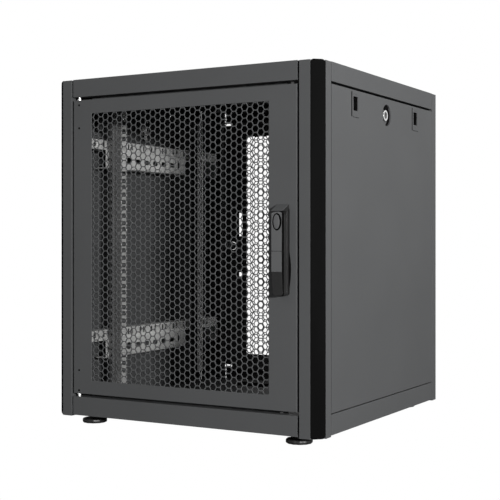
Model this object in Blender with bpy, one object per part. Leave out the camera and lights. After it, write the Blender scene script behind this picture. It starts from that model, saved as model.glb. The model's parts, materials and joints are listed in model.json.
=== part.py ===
"""Twelve-unit floor-standing network rack cabinet, 600 mm wide and 600 mm deep.

Metres, +Z up, +X to the right seen from the front door, +Y towards the rear door.
The origin lies on the floor below the centre of the whole object's box, handle included.
Places across the cabinet are given as u, measured inwards from the left outer face.
Places in depth are given as v, measured inwards from the front plane of the frame.
"""

import math

import bmesh
import bpy
from mathutils import Matrix

# Frame
WIDTH = 0.600
DEPTH = 0.600
HANDLE_PROUD = 0.028
LEFT = -WIDTH / 2
FRONT = -(DEPTH - HANDLE_PROUD) / 2
MID_Y = FRONT + DEPTH / 2
RAIL_BASE = 0.019
FRAME_TOP = 0.6923
POST_BASE = 0.0165
POST_TOP = 0.6918
SHEET = 0.0015
PANEL_SHEET = 0.0012
POST_STRIP = 0.043
CHAMFER = 0.020
TRIM_THICK = 0.0024
TRIM_TOP = 0.6930
END_RAIL_U = 0.0465
SIDE_RAIL_V = 0.045
RAIL_TAB = (0.0190, 0.0205)
STOP_V = 0.0235
STOP_SPAN = (0.077, 0.523)
TOP_RAIL_Z = 0.6569
BOTTOM_RAIL_Z = 0.0562

# Doors
DOOR_U = (0.0483, 0.5519)
DOOR_Z = (0.0630, 0.6504)
WINDOW_U = (0.0932, 0.4955)
WINDOW_Z = (0.0901, 0.6225)
DOOR_DEPTH = 0.018
MESH_LAP = 0.010
MESH_V = (0.0015, 0.0027)
PIN_UV = (0.0574, 0.0075)
PIN_RADIUS = 0.0026
PIN_HOLE = 0.0031

# Swing handle
SPINDLE_U = 0.526
SPINDLE_Z = 0.404
SPINDLE_RADIUS = 0.006
PINION_RADIUS = 0.008
HANDLE_BASE_U = (0.5135, 0.5370)
HANDLE_BASE_Z = (0.2705, 0.4353)
LEVER_U = (0.5150, 0.5365)
LEVER_Z = (0.2715, 0.4220)
LEVER_V = (-0.0268, -0.0083)
TILT_V = -0.0222
TILT_Z = 0.4173
NOSE_RADIUS = 0.0046
COVER_V = (-HANDLE_PROUD, -0.0271)
COVER_HALF = (0.0070, 0.0137)
COVER_Z = 0.4033
COVER_PIVOT_Z = 0.4125
ROD_V = (0.0125, 0.0150)
ROD_WIDTH = 0.006
ROD_CLEAR = 0.0004

# Side panels
PANEL_V = (0.045, 0.555)
PANEL_Z = (0.059, 0.652)
PANEL_DEPTH = 0.015
DISH_V = 0.2998
DISH_Z = 0.6194
DISH_RADIUS = 0.0215
DISH_DEPTH = 0.005
LOCK_RADIUS = 0.011
LATCH_V = (0.150, 0.456)
LATCH_Z = 0.6270
LATCH_WINDOW = (0.0125, 0.0175)
FINGER_HALF = (0.0105, 0.0135)

# Inside
RACK_UNIT = 0.04445
UNITS = 12
HOLE_STEPS = (0.00635, 0.022225, 0.0381)
HOLE_SIDE = 0.0095
HOLE_U = 0.300 - 0.2326
RACK_FACE_U = 0.075
MOUNT_RAIL_Z = (0.062, 0.648)
MOUNT_RAIL_SHEET = 0.002
FRONT_RAIL_V = 0.142
REAR_RAIL_V = 0.155
SUPPORT_FACE_U = 0.046
SUPPORT_V = (0.0434, 0.5566)
SUPPORT_BACK_U = 0.020
SUPPORT_STEP = 0.004
SUPPORT_BASES = {"bottom": 0.1220, "top": 0.5212}
SUPPORT_RISE = 0.0408
SUPPORT_HEIGHT = 0.0595
SUPPORT_NOTCHES = ((0.0450, 0.110), (0.412, 0.446), (0.490, 0.5550))
SLOT_MIDDLE_V = 0.2917
SLOT_PITCH = 0.0333
SLOT_PLACES = (-5, -4, -3, -2, -1, 0, 1, 2, 3, 5)
SLOT_HALF = (0.010, 0.004)
SLOT_RISE = 0.0195
RAIL_FLANGE_U = 0.060
RAIL_WEB_DEPTH = 0.024
RAIL_FOOT_REACH = 0.008
FOOT_UV = (0.066, 0.046)
FOOT_BORE = 0.0057
FLOOR_Z = (0.0343, 0.0355)
ROOF_Z = (0.677, 0.6920)
ROOF_EDGE = 0.0470
VENT_HALF = (0.120, 0.075)
VENT_V = 0.230
ENTRY_HALF = (0.150, 0.030)
ENTRY_V = 0.470


def place(u, v):
    """World x and y of a point u from the left outer face and v from the front plane."""
    return LEFT + u, FRONT + v


def clear_scene():
    for obj in list(bpy.data.objects):
        bpy.data.objects.remove(obj, do_unlink=True)


def material(name, colour, roughness, metallic):
    mat = bpy.data.materials.new(name)
    mat.use_nodes = True
    shader = mat.node_tree.nodes["Principled BSDF"]
    shader.inputs["Base Color"].default_value = (*colour, 1.0)
    shader.inputs["Roughness"].default_value = roughness
    shader.inputs["Metallic"].default_value = metallic
    mat.diffuse_color = (*colour, 1.0)
    return mat


def axis_point(axis, a, b, height):
    """Point of an outline (a, b) lying across the given axis, at a height along that axis."""
    if axis == "X":
        return (height, a, b)
    if axis == "Y":
        return (a, height, b)
    return (a, b, height)


def prism(outline, axis, low, high):
    """Closed solid between two copies of one outline along an axis."""
    bm = bmesh.new()
    ends = []
    for height in (low, high):
        ends.append([bm.verts.new(axis_point(axis, a, b, height)) for a, b in outline])
    bm.faces.new(ends[0])
    bm.faces.new(ends[1])
    count = len(outline)
    for i in range(count):
        j = (i + 1) % count
        bm.faces.new((ends[0][i], ends[0][j], ends[1][j], ends[1][i]))
    bmesh.ops.recalc_face_normals(bm, faces=bm.faces)
    return bm


def box(low, high):
    outline = [(low[0], low[1]), (high[0], low[1]), (high[0], high[1]), (low[0], high[1])]
    return prism(outline, "Z", low[2], high[2])


def circle(centre, radius, sides, start=0.0, turn=2 * math.pi):
    """Points round a circle, or round a part of it when the turn is less than a full one."""
    steps = sides if turn == 2 * math.pi else sides + 1
    angles = [start + turn * i / sides for i in range(steps)]
    return [(centre[0] + radius * math.cos(a), centre[1] + radius * math.sin(a)) for a in angles]


def rounded_rectangle(low, high, radius, steps=3):
    corners = [(high[0] - radius, high[1] - radius), (low[0] + radius, high[1] - radius),
               (low[0] + radius, low[1] + radius), (high[0] - radius, low[1] + radius)]
    points = []
    for i, corner in enumerate(corners):
        points += circle(corner, radius, steps, start=i * math.pi / 2, turn=math.pi / 2)
    return points


def turned(profile, axis, centre, sides):
    """Solid turned round an axis; the profile is radius and height, from bottom to top."""
    bm = bmesh.new()
    rings = []
    for radius, height in profile:
        points = circle(centre, radius, sides)
        rings.append([bm.verts.new(axis_point(axis, a, b, height)) for a, b in points])
    for lower, upper in zip(rings, rings[1:]):
        for i in range(sides):
            j = (i + 1) % sides
            bm.faces.new((lower[i], lower[j], upper[j], upper[i]))
    bm.faces.new(rings[0])
    bm.faces.new(rings[-1])
    bmesh.ops.recalc_face_normals(bm, faces=bm.faces)
    return bm


def folded(points, thickness, side):
    """Closed outline of a folded sheet: the outer line, then its offset to the given side."""
    inner = []
    last = len(points) - 1
    for i, (a, b) in enumerate(points):
        normals = []
        for j in (i - 1, i):
            if 0 <= j < last:
                da = points[j + 1][0] - points[j][0]
                db = points[j + 1][1] - points[j][1]
                length = math.hypot(da, db)
                normals.append((-db / length * side, da / length * side))
        na = sum(n[0] for n in normals)
        nb = sum(n[1] for n in normals)
        scale = thickness / (na * normals[0][0] + nb * normals[0][1])
        inner.append((a + na * scale, b + nb * scale))
    return list(points) + inner[::-1]


def frame_sweep(loops):
    """Rectangular frame: each loop is (x0, x1, z0, z1, y), joined to the next one round."""
    bm = bmesh.new()
    rings = []
    for x0, x1, z0, z1, y in loops:
        corners = ((x0, z0), (x1, z0), (x1, z1), (x0, z1))
        rings.append([bm.verts.new((x, y, z)) for x, z in corners])
    for ring, following in zip(rings, rings[1:] + rings[:1]):
        for i in range(4):
            j = (i + 1) % 4
            bm.faces.new((ring[i], ring[j], following[j], following[i]))
    bmesh.ops.recalc_face_normals(bm, faces=bm.faces)
    return bm


def joined(shapes):
    """One mesh that holds several separate shapes."""
    bm = bmesh.new()
    for shape in shapes:
        mesh = bpy.data.meshes.new("shape")
        shape.to_mesh(mesh)
        bm.from_mesh(mesh)
        bpy.data.meshes.remove(mesh)
        shape.free()
    return bm


def to_object(name, bm, flips, origin):
    """Object of a mesh, mirrored across the cabinet's middle planes as the flips say."""
    flip_x, flip_y = flips
    for vert in bm.verts:
        if flip_x:
            vert.co.x = -vert.co.x
        if flip_y:
            vert.co.y = 2 * MID_Y - vert.co.y
        vert.co.x -= origin[0]
        vert.co.y -= origin[1]
        vert.co.z -= origin[2]
    if flip_x != flip_y:
        bmesh.ops.reverse_faces(bm, faces=bm.faces)
    mesh = bpy.data.meshes.new(name)
    bm.to_mesh(mesh)
    bm.free()
    obj = bpy.data.objects.new(name, mesh)
    obj.location = origin
    bpy.context.collection.objects.link(obj)
    return obj


def boolean(obj, name, bm, operation, flips, origin):
    """Boolean with a hidden helper object."""
    helper = to_object(name, bm, flips, origin)
    helper.hide_render = True
    helper.display_type = "WIRE"
    modifier = obj.modifiers.new(name, "BOOLEAN")
    modifier.operation = operation
    modifier.object = helper


def piece(name, solid, mat, adds=(), cuts=(), common=None, flips=(False, False), origin=(0, 0, 0)):
    """Finished piece: a solid with shapes added, cut away, or limited to a common shape."""
    obj = to_object(name, solid, flips, origin)
    obj.data.materials.append(mat)
    for i, shape in enumerate(adds):
        boolean(obj, f"{name}_add_{i}", shape, "UNION", flips, origin)
    if common:
        boolean(obj, f"{name}_common", common, "INTERSECT", flips, origin)
    if cuts:
        boolean(obj, f"{name}_cut", joined(cuts), "DIFFERENCE", flips, origin)
    return obj


def mirrored_point(point, flips):
    x, y, z = point
    return (-x if flips[0] else x, 2 * MID_Y - y if flips[1] else y, z)


CORNERS = {
    "front_left": (False, False),
    "front_right": (True, False),
    "rear_left": (False, True),
    "rear_right": (True, True),
}
SIDES = {"left": (False, False), "right": (True, False)}
ENDS = {"front": (False, False), "rear": (True, True)}


def uv(outline):
    """Plan outline in world x and y from points in u and v."""
    return [place(u, v) for u, v in outline]


def vz(outline):
    """Outline across X in world y and z from points in v and z."""
    return [(FRONT + v, z) for v, z in outline]


def uz(outline):
    """Outline across Y in world x and z from points in u and z."""
    return [(LEFT + u, z) for u, z in outline]


def span_box(u_span, v_span, z_span):
    return box((LEFT + u_span[0], FRONT + v_span[0], z_span[0]),
               (LEFT + u_span[1], FRONT + v_span[1], z_span[1]))


def corner_posts(steel):
    """Folded corner posts with a recessed chamfer for the trim and a closed top and bottom."""
    seat = CHAMFER + 0.0006
    step = TRIM_THICK * math.sqrt(0.5) + 0.0002
    outer = [(POST_STRIP, 0.018), (POST_STRIP, 0.0), (seat, 0.0), (seat + step, step)]
    inner = [(POST_STRIP - SHEET, 0.018), (POST_STRIP - SHEET, SHEET),
             (seat + 2 * step + 0.0005, SHEET)]
    outline = outer + [(v, u) for u, v in reversed(outer)]
    outline += [(v, u) for u, v in inner] + inner[::-1]
    plate = [(POST_STRIP, 0.0), (seat, 0.0), (seat + step, step),
             (step, seat + step), (0.0, seat), (0.0, POST_STRIP), (POST_STRIP, POST_STRIP)]
    for corner, flips in CORNERS.items():
        ends = [prism(uv(plate), "Z", POST_TOP - SHEET, POST_TOP),
                prism(uv(plate), "Z", POST_BASE, POST_BASE + SHEET)]
        post = prism(uv(outline), "Z", POST_BASE, POST_TOP)
        piece(f"post_{corner}", post, steel, adds=ends, flips=flips)


def corner_trims(plastic):
    """Plastic strips on the chamfers, with rounded ends."""
    width = CHAMFER * math.sqrt(2)
    for corner, flips in CORNERS.items():
        outline = rounded_rectangle((0.0, POST_BASE), (width, TRIM_TOP), 0.005)
        strip = prism(outline, "Y", 0.0, TRIM_THICK)
        x, y = place(0.0, CHAMFER)
        turn = Matrix.Rotation(-math.pi / 4, 4, "Z")
        strip.transform(Matrix.Translation((x, y, 0.0)) @ turn)
        piece(f"corner_trim_{corner}", strip, plastic, flips=flips)


def rail_tabs(z_span):
    """Tabs of a front or rear rail that reach behind the posts' folds."""
    return [span_box(u_span, RAIL_TAB, z_span)
            for u_span in ((0.030, 0.050), (WIDTH - 0.050, WIDTH - 0.030))]


def pin_hole(z_span):
    return prism(circle(place(*PIN_UV), PIN_HOLE, 12), "Z", *z_span)


def end_rail(level, section, pin_z, lip_z, tab_z, bores, steel):
    """Front and rear rails of one level, with a door stop that is cut short at both ends."""
    for end, flips in ENDS.items():
        rail = prism(vz(section), "X", LEFT + END_RAIL_U, -LEFT - END_RAIL_U)
        lip = (STOP_V - 0.0035, STOP_V + 0.0065)
        cuts = [pin_hole(pin_z)]
        for u_span in ((0.040, STOP_SPAN[0]), (STOP_SPAN[1], 0.560)):
            cuts.append(span_box(u_span, lip, lip_z))
        for u, v, radius in bores:
            cuts.append(prism(circle(place(u, v), radius, 12), "Z", 0.017, 0.022))
        piece(f"{end}_{level}_rail", rail, steel, adds=rail_tabs(tab_z), cuts=cuts, flips=flips)


def end_rails(steel):
    """End rails at the top, and those at the bottom that also carry the levelling feet."""
    top = folded([(STOP_V, 0.645), (STOP_V, TOP_RAIL_Z), (0.0, TOP_RAIL_Z),
                  (0.0, FRAME_TOP), (SIDE_RAIL_V, FRAME_TOP), (SIDE_RAIL_V, 0.680)], SHEET, -1)
    end_rail("top", top, (0.655, 0.660), (0.640, TOP_RAIL_Z),
             (TOP_RAIL_Z + 0.0006, 0.6890), (), steel)
    bottom = folded([(STOP_V, 0.069), (STOP_V, BOTTOM_RAIL_Z), (0.0, BOTTOM_RAIL_Z),
                     (0.0, RAIL_BASE), (0.064, RAIL_BASE), (0.064, 0.034)], SHEET, 1)
    stems = [(u, FOOT_UV[1], FOOT_BORE) for u in (FOOT_UV[0], WIDTH - FOOT_UV[0])]
    end_rail("bottom", bottom, (0.053, 0.058), (BOTTOM_RAIL_Z, 0.075),
             (RAIL_BASE + 0.0008, BOTTOM_RAIL_Z - 0.0008), stems, steel)


def side_rails(steel):
    """Side rails at the top and the bottom, from post to post."""
    top = folded([(0.0205, 0.645), (0.0205, 0.6568), (0.0, 0.6568),
                  (0.0, FRAME_TOP), (0.045, FRAME_TOP), (0.045, 0.680)], SHEET, -1)
    bottom = folded([(0.0170, 0.0665), (0.0170, 0.0565), (0.0, 0.0565),
                     (0.0, RAIL_BASE), (0.045, RAIL_BASE), (0.045, 0.034)], SHEET, 1)
    spans = {"top": (top, (0.6575, 0.6890)), "bottom": (bottom, (0.0198, 0.0555))}
    for side, flips in SIDES.items():
        for level, (section, tab_z) in spans.items():
            rail = prism(uz(section), "Y", FRONT + SIDE_RAIL_V, FRONT + DEPTH - SIDE_RAIL_V)
            tabs = [span_box(RAIL_TAB, v_span, tab_z)
                    for v_span in ((0.030, 0.050), (DEPTH - 0.050, DEPTH - 0.030))]
            piece(f"{side}_{level}_rail", rail, steel, adds=tabs, flips=flips)


def roof_opening(v, half):
    """Cutter through the roof's sheet, centred across the cabinet."""
    x, y = place(WIDTH / 2, v)
    return box((x - half[0], y - half[1], ROOF_Z[1] - 0.004),
               (x + half[0], y + half[1], ROOF_Z[1] + 0.003))


def roof(steel):
    """Drop-in roof pan with a vent opening and a cable entry."""
    edge = (ROOF_EDGE, WIDTH - ROOF_EDGE)
    inside = (ROOF_EDGE + PANEL_SHEET, WIDTH - ROOF_EDGE - PANEL_SHEET)
    hollow = span_box(inside, inside, (ROOF_Z[0] - 0.01, ROOF_Z[1] - PANEL_SHEET))
    pan = piece("roof_panel", span_box(edge, edge, ROOF_Z), steel, cuts=[hollow])
    openings = joined([roof_opening(VENT_V, VENT_HALF), roof_opening(ENTRY_V, ENTRY_HALF)])
    boolean(pan, "roof_panel_openings", openings, "DIFFERENCE", (False, False), (0, 0, 0))


def roof_fittings(steel, bristle):
    """Vent grille with long slots and the brush of the cable entry, both under the roof."""
    x, y = place(WIDTH / 2, VENT_V)
    top = ROOF_Z[1] - PANEL_SHEET - 0.0004
    lap = 0.012
    half = (VENT_HALF[0] + lap, VENT_HALF[1] + lap)
    grille = box((x - half[0], y - half[1], top - PANEL_SHEET), (x + half[0], y + half[1], top))
    slots = []
    for row in range(-4, 5):
        slot_y = y + row * 0.015
        slots.append(box((x - 0.105, slot_y - 0.003, top - 0.01),
                         (x + 0.105, slot_y + 0.003, top + 0.01)))
    piece("roof_vent_grille", grille, steel, cuts=slots)
    x, y = place(WIDTH / 2, ENTRY_V)
    holder = box((x - 0.160, y + 0.018, top - 0.009), (x + 0.160, y + 0.038, top))
    bristles = box((x - 0.156, y - 0.034, top - 0.006), (x + 0.156, y + 0.020, top - 0.003))
    piece("roof_cable_brush", holder, bristle, adds=[bristles])


def floor_pan(steel):
    """Floor panel lying on the bottom rails' edges, with a cable entry at the back."""
    plate = span_box((0.040, WIDTH - 0.040), (0.058, DEPTH - 0.058), FLOOR_Z)
    x, y = place(WIDTH / 2, ENTRY_V)
    entry = box((x - ENTRY_HALF[0], y - ENTRY_HALF[1], FLOOR_Z[0] - 0.01),
                (x + ENTRY_HALF[0], y + ENTRY_HALF[1], FLOOR_Z[1] + 0.01))
    piece("floor_panel", plate, steel, cuts=[entry])


def support_section(base):
    """Outline across a rail support: lower face, ledge, set-back strip and two flanges."""
    face, strip = SUPPORT_FACE_U, SUPPORT_FACE_U - SUPPORT_STEP
    ledge, top = base + SUPPORT_RISE, base + SUPPORT_HEIGHT
    return folded([(SUPPORT_BACK_U, base), (face, base), (face, ledge), (strip, ledge),
                   (strip, top), (SUPPORT_BACK_U, top)], SHEET, 1)


def support_cuts(base):
    """Notches of the lower face where it stops short of the rails, and its bolt slots."""
    below_ledge = (base - 0.001, base + SUPPORT_RISE - 0.0018)
    cuts = [span_box((0.0150, SUPPORT_FACE_U + 0.002), v_span, below_ledge)
            for v_span in SUPPORT_NOTCHES]
    z = base + SLOT_RISE
    for step in SLOT_PLACES:
        v = SLOT_MIDDLE_V + step * SLOT_PITCH
        cuts.append(span_box((SUPPORT_FACE_U - 0.003, SUPPORT_FACE_U + 0.002),
                             (v - SLOT_HALF[0], v + SLOT_HALF[0]),
                             (z - SLOT_HALF[1], z + SLOT_HALF[1])))
    return cuts


def rail_supports(zinc):
    """Depth members on both sides, from post to post, that the mounting rails stand on."""
    start, end = SUPPORT_V
    for side, flips in SIDES.items():
        for level, base in SUPPORT_BASES.items():
            member = prism(uz(support_section(base)), "Y", FRONT + start, FRONT + end)
            plate_u = (0.004, SUPPORT_FACE_U - 0.0008)
            plate_z = (base + 0.0008, base + SUPPORT_HEIGHT - 0.0008)
            ends = [span_box(plate_u, v_span, plate_z)
                    for v_span in ((start, start + PANEL_SHEET), (end - PANEL_SHEET, end))]
            piece(f"rail_support_{level}_{side}", member, zinc, adds=ends,
                  cuts=support_cuts(base), flips=flips)


def mounting_rails(zinc):
    """Vertical 19-inch rails, with three square holes in each rack unit."""
    middle = sum(MOUNT_RAIL_Z) / 2
    first = middle - UNITS * RACK_UNIT / 2
    half = HOLE_SIDE / 2
    for corner, flips in CORNERS.items():
        face = REAR_RAIL_V if flips[1] else FRONT_RAIL_V
        foot = SUPPORT_FACE_U + 0.0004
        back = face - RAIL_WEB_DEPTH
        section = folded([(RACK_FACE_U, face), (RAIL_FLANGE_U, face), (RAIL_FLANGE_U, back),
                          (foot, back), (foot, face + RAIL_FOOT_REACH)], MOUNT_RAIL_SHEET, -1)
        rail = prism(uv(section), "Z", *MOUNT_RAIL_Z)
        holes = []
        for unit in range(UNITS):
            for step in HOLE_STEPS:
                z = first + unit * RACK_UNIT + step
                holes.append(span_box((HOLE_U - half, HOLE_U + half), (face - 0.001, face + 0.004),
                                      (z - half, z + half)))
        piece(f"mounting_rail_{corner}", rail, zinc, cuts=holes, flips=flips)


def levelling_feet(rubber):
    """Pads on threaded stems with a lock nut below the bottom rail."""
    profile = [(0.0235, 0.0), (0.0250, 0.0015), (0.0250, 0.0065), (0.0215, 0.0085),
               (0.0085, 0.0092), (0.0085, 0.0165), (0.0050, 0.0170), (0.0050, 0.0500)]
    for corner, flips in CORNERS.items():
        x, y = place(*FOOT_UV)
        foot = turned(profile, "Z", (x, y), 20)
        origin = mirrored_point((x, y, 0.0), flips)
        piece(f"levelling_foot_{corner}", foot, rubber, flips=flips, origin=origin)


def side_panels(steel):
    """Lift-off side panels: pressed pans with a lock dish and two latch windows."""
    for side, flips in SIDES.items():
        pan = span_box((0.0, PANEL_DEPTH), PANEL_V, PANEL_Z)
        centre = (FRONT + DISH_V, DISH_Z)
        dish = prism(circle(centre, DISH_RADIUS + 0.0012, 24), "X",
                     LEFT + 0.0006, LEFT + DISH_DEPTH + PANEL_SHEET)
        inside = span_box((PANEL_SHEET, PANEL_DEPTH + 0.005),
                          (PANEL_V[0] + PANEL_SHEET, PANEL_V[1] - PANEL_SHEET),
                          (PANEL_Z[0] + PANEL_SHEET, PANEL_Z[1] - PANEL_SHEET))
        origin = mirrored_point((LEFT + 0.0005, FRONT + DISH_V, PANEL_Z[0]), flips)
        name = f"side_panel_{side}"
        obj = piece(name, pan, steel, cuts=[inside], flips=flips, origin=origin)
        boolean(obj, f"{name}_dish", dish, "UNION", flips, origin)
        recess = prism(circle(centre, DISH_RADIUS, 24), "X", LEFT - 0.002, LEFT + DISH_DEPTH)
        bore = prism(circle(centre, LOCK_RADIUS + 0.0008, 24), "X",
                     LEFT + DISH_DEPTH - 0.001, LEFT + 0.010)
        boolean(obj, f"{name}_recess", recess, "DIFFERENCE", flips, origin)
        boolean(obj, f"{name}_bore", bore, "DIFFERENCE", flips, origin)
        windows = [span_box((-0.002, 0.005), (v - LATCH_WINDOW[0], v + LATCH_WINDOW[0]),
                            (LATCH_Z - LATCH_WINDOW[1], LATCH_Z + LATCH_WINDOW[1]))
                   for v in LATCH_V]
        boolean(obj, f"{name}_windows", joined(windows), "DIFFERENCE", flips, origin)


def side_latches(plastic):
    """Spring latches of the side panels, each with a finger pocket and a tongue."""
    for side, flips in SIDES.items():
        for end, v in zip(("front", "rear"), LATCH_V):
            body = span_box((0.0016, 0.0120), (v - 0.015, v + 0.015),
                            (LATCH_Z - 0.022, LATCH_Z + 0.020))
            tongue = span_box((0.0090, 0.0195), (v - 0.008, v + 0.008),
                              (LATCH_Z + 0.012, 0.6435))
            pocket = span_box((0.0, 0.0108), (v - FINGER_HALF[0], v + FINGER_HALF[0]),
                              (LATCH_Z - FINGER_HALF[1], LATCH_Z + FINGER_HALF[1]))
            origin = mirrored_point((LEFT + 0.0016, FRONT + v, LATCH_Z), flips)
            name = f"side_latch_{side}_{end}"
            piece(name, body, plastic, adds=[tongue], cuts=[pocket], flips=flips, origin=origin)


def side_locks(chrome):
    """Key locks of the side panels: a barrel in the dish and a cam behind it."""
    for side, flips in SIDES.items():
        centre = (FRONT + DISH_V, DISH_Z)
        barrel = prism(circle(centre, LOCK_RADIUS, 24), "X", LEFT + 0.0022, LEFT + 0.0200)
        cam = span_box((0.0195, 0.0215), (DISH_V - 0.007, DISH_V + 0.007),
                       (DISH_Z - 0.008, 0.6435))
        key = span_box((0.0, 0.0065), (DISH_V - 0.0008, DISH_V + 0.0008),
                       (DISH_Z - 0.0045, DISH_Z + 0.0045))
        origin = mirrored_point((LEFT + 0.0022, FRONT + DISH_V, DISH_Z), flips)
        name = f"side_lock_{side}"
        piece(name, barrel, chrome, adds=[cam], cuts=[key], flips=flips, origin=origin)


def door_origin(flips):
    return mirrored_point((*place(*PIN_UV), DOOR_Z[0]), flips)


def door_frame(end, flips, cuts, steel):
    """Door pan with folded edges and a large window."""
    x0, x1 = LEFT + DOOR_U[0], LEFT + DOOR_U[1]
    z0, z1 = DOOR_Z
    t = PANEL_SHEET
    window = (LEFT + WINDOW_U[0], LEFT + WINDOW_U[1], WINDOW_Z[0], WINDOW_Z[1])
    loops = [(x0, x1, z0, z1, FRONT), (x0, x1, z0, z1, FRONT + DOOR_DEPTH),
             (x0 + t, x1 - t, z0 + t, z1 - t, FRONT + DOOR_DEPTH),
             (x0 + t, x1 - t, z0 + t, z1 - t, FRONT + t),
             (*window, FRONT + t), (*window, FRONT)]
    holes = [pin_hole((0.0600, 0.0670)), pin_hole((0.6460, 0.6530))]
    piece(f"{end}_door_frame", frame_sweep(loops), steel, cuts=holes + cuts,
          flips=flips, origin=door_origin(flips))


def door_mesh(end, flips, steel):
    """Perforated sheet fixed behind the window, as a plain plate."""
    sheet = span_box((WINDOW_U[0] - MESH_LAP, WINDOW_U[1] + MESH_LAP), MESH_V,
                     (WINDOW_Z[0] - MESH_LAP, WINDOW_Z[1] + MESH_LAP))
    piece(f"{end}_door_mesh", sheet, steel, flips=flips, origin=door_origin(flips))


def hinge_pins(end, flips, zinc):
    """Spring pins in the door that stand in holes of the rails above and below it."""
    centre = place(*PIN_UV)
    upper = [(PIN_RADIUS, 0.6300), (PIN_RADIUS, 0.6507), (0.0042, 0.6508), (0.0042, 0.6530),
             (PIN_RADIUS, 0.6531), (PIN_RADIUS, 0.6620)]
    lower = [(PIN_RADIUS, 0.0510), (PIN_RADIUS, 0.0599), (0.0042, 0.0600), (0.0042, 0.0626),
             (PIN_RADIUS, 0.0627), (PIN_RADIUS, 0.0830)]
    for level, profile in (("top", upper), ("bottom", lower)):
        pin = turned(profile, "Z", centre, 12)
        origin = mirrored_point((*centre, profile[0][1]), flips)
        piece(f"{end}_hinge_pin_{level}", pin, zinc, flips=flips, origin=origin)


def front_door(steel, mesh_steel, zinc):
    """Front door with the openings for the handle's spindle and the lock rods."""
    flips = ENDS["front"]
    right_rod = SPINDLE_U + PINION_RADIUS - ROD_CLEAR
    left_rod = SPINDLE_U - PINION_RADIUS - ROD_WIDTH - ROD_CLEAR
    x, z = LEFT + SPINDLE_U, SPINDLE_Z
    slot_v = (ROD_V[0] - 0.001, ROD_V[1] + 0.001)
    cuts = [prism(circle((x, z), SPINDLE_RADIUS + 0.0006, 16), "Y", FRONT - 0.002, FRONT + 0.004),
            span_box((right_rod, right_rod + ROD_WIDTH + 0.0015), slot_v, (0.6460, 0.6530)),
            span_box((left_rod - 0.0010, left_rod + ROD_WIDTH + 0.0010), slot_v, (0.0600, 0.0670))]
    door_frame("front", flips, cuts, steel)
    door_mesh("front", flips, mesh_steel)
    hinge_pins("front", flips, zinc)


def rear_door(steel, mesh_steel, zinc, chrome):
    """Rear door, hinged on the other side, with cut-outs for a handle and a plain cam lock."""
    flips = ENDS["rear"]
    x, z = LEFT + 0.534, 0.355
    barrel_hole = prism(circle((x, z), 0.0098, 16), "Y", FRONT - 0.002, FRONT + 0.004)
    cuts = [barrel_hole,
            span_box((0.5075, 0.5165), (-0.002, 0.005), (0.379, 0.436)),
            span_box((0.5075, 0.5165), (-0.002, 0.005), (0.280, 0.290))]
    door_frame("rear", flips, cuts, steel)
    door_mesh("rear", flips, mesh_steel)
    hinge_pins("rear", flips, zinc)
    barrel = prism(circle((x, z), 0.0090, 16), "Y", FRONT + 0.0002, FRONT + 0.0205)
    cam = span_box((0.528, 0.5480), (0.0190, 0.0208), (z - 0.006, z + 0.006))
    key = span_box((0.5332, 0.5348), (-0.001, 0.0040), (z - 0.004, z + 0.004))
    origin = mirrored_point((x, FRONT, z), flips)
    piece("rear_door_lock", barrel, chrome, adds=[cam], cuts=[key], flips=flips, origin=origin)


def handle_base(plastic):
    """Handle housing on the door with a ramp over the lever's nose."""
    back = -0.0003
    outline = [(back, HANDLE_BASE_Z[0]), (-0.0080, HANDLE_BASE_Z[0]), (-0.0080, 0.4225),
               (-0.0262, 0.4225), (back, HANDLE_BASE_Z[1])]
    x0, x1 = (LEFT + u for u in HANDLE_BASE_U)
    housing = prism(vz(outline), "X", x0, x1)
    centre = (LEFT + SPINDLE_U, SPINDLE_Z)
    bore = prism(circle(centre, SPINDLE_RADIUS + 0.0006, 16), "Y", FRONT - 0.012, FRONT + 0.004)
    piece("front_handle_base", housing, plastic, cuts=[bore])


def handle_spindle(zinc):
    """Spindle through the door: pinion inside, and outside the arm that carries the lever."""
    x, z = LEFT + SPINDLE_U, SPINDLE_Z
    shaft = prism(circle((x, z), SPINDLE_RADIUS, 16), "Y", FRONT - 0.0090, FRONT + 0.0165)
    pinion = prism(circle((x, z), PINION_RADIUS - 0.0008, 16), "Y", FRONT + 0.0120, FRONT + 0.0155)
    arm = [(-0.0085, 0.3980), (-0.0085, 0.4145), (-0.0203, 0.4184), (-0.0238, 0.4186),
           (-0.0241, 0.4160), (-0.0160, 0.4090), (-0.0150, 0.3980)]
    arm_solid = prism(vz(arm), "X", x - 0.0055, x + 0.0055)
    cross_pin = prism(circle((FRONT + TILT_V, TILT_Z), 0.0013, 10), "X", x - 0.0100, x + 0.0095)
    piece("front_handle_spindle", shaft, zinc, adds=[pinion, arm_solid, cross_pin],
          origin=(x, FRONT, z))


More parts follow.
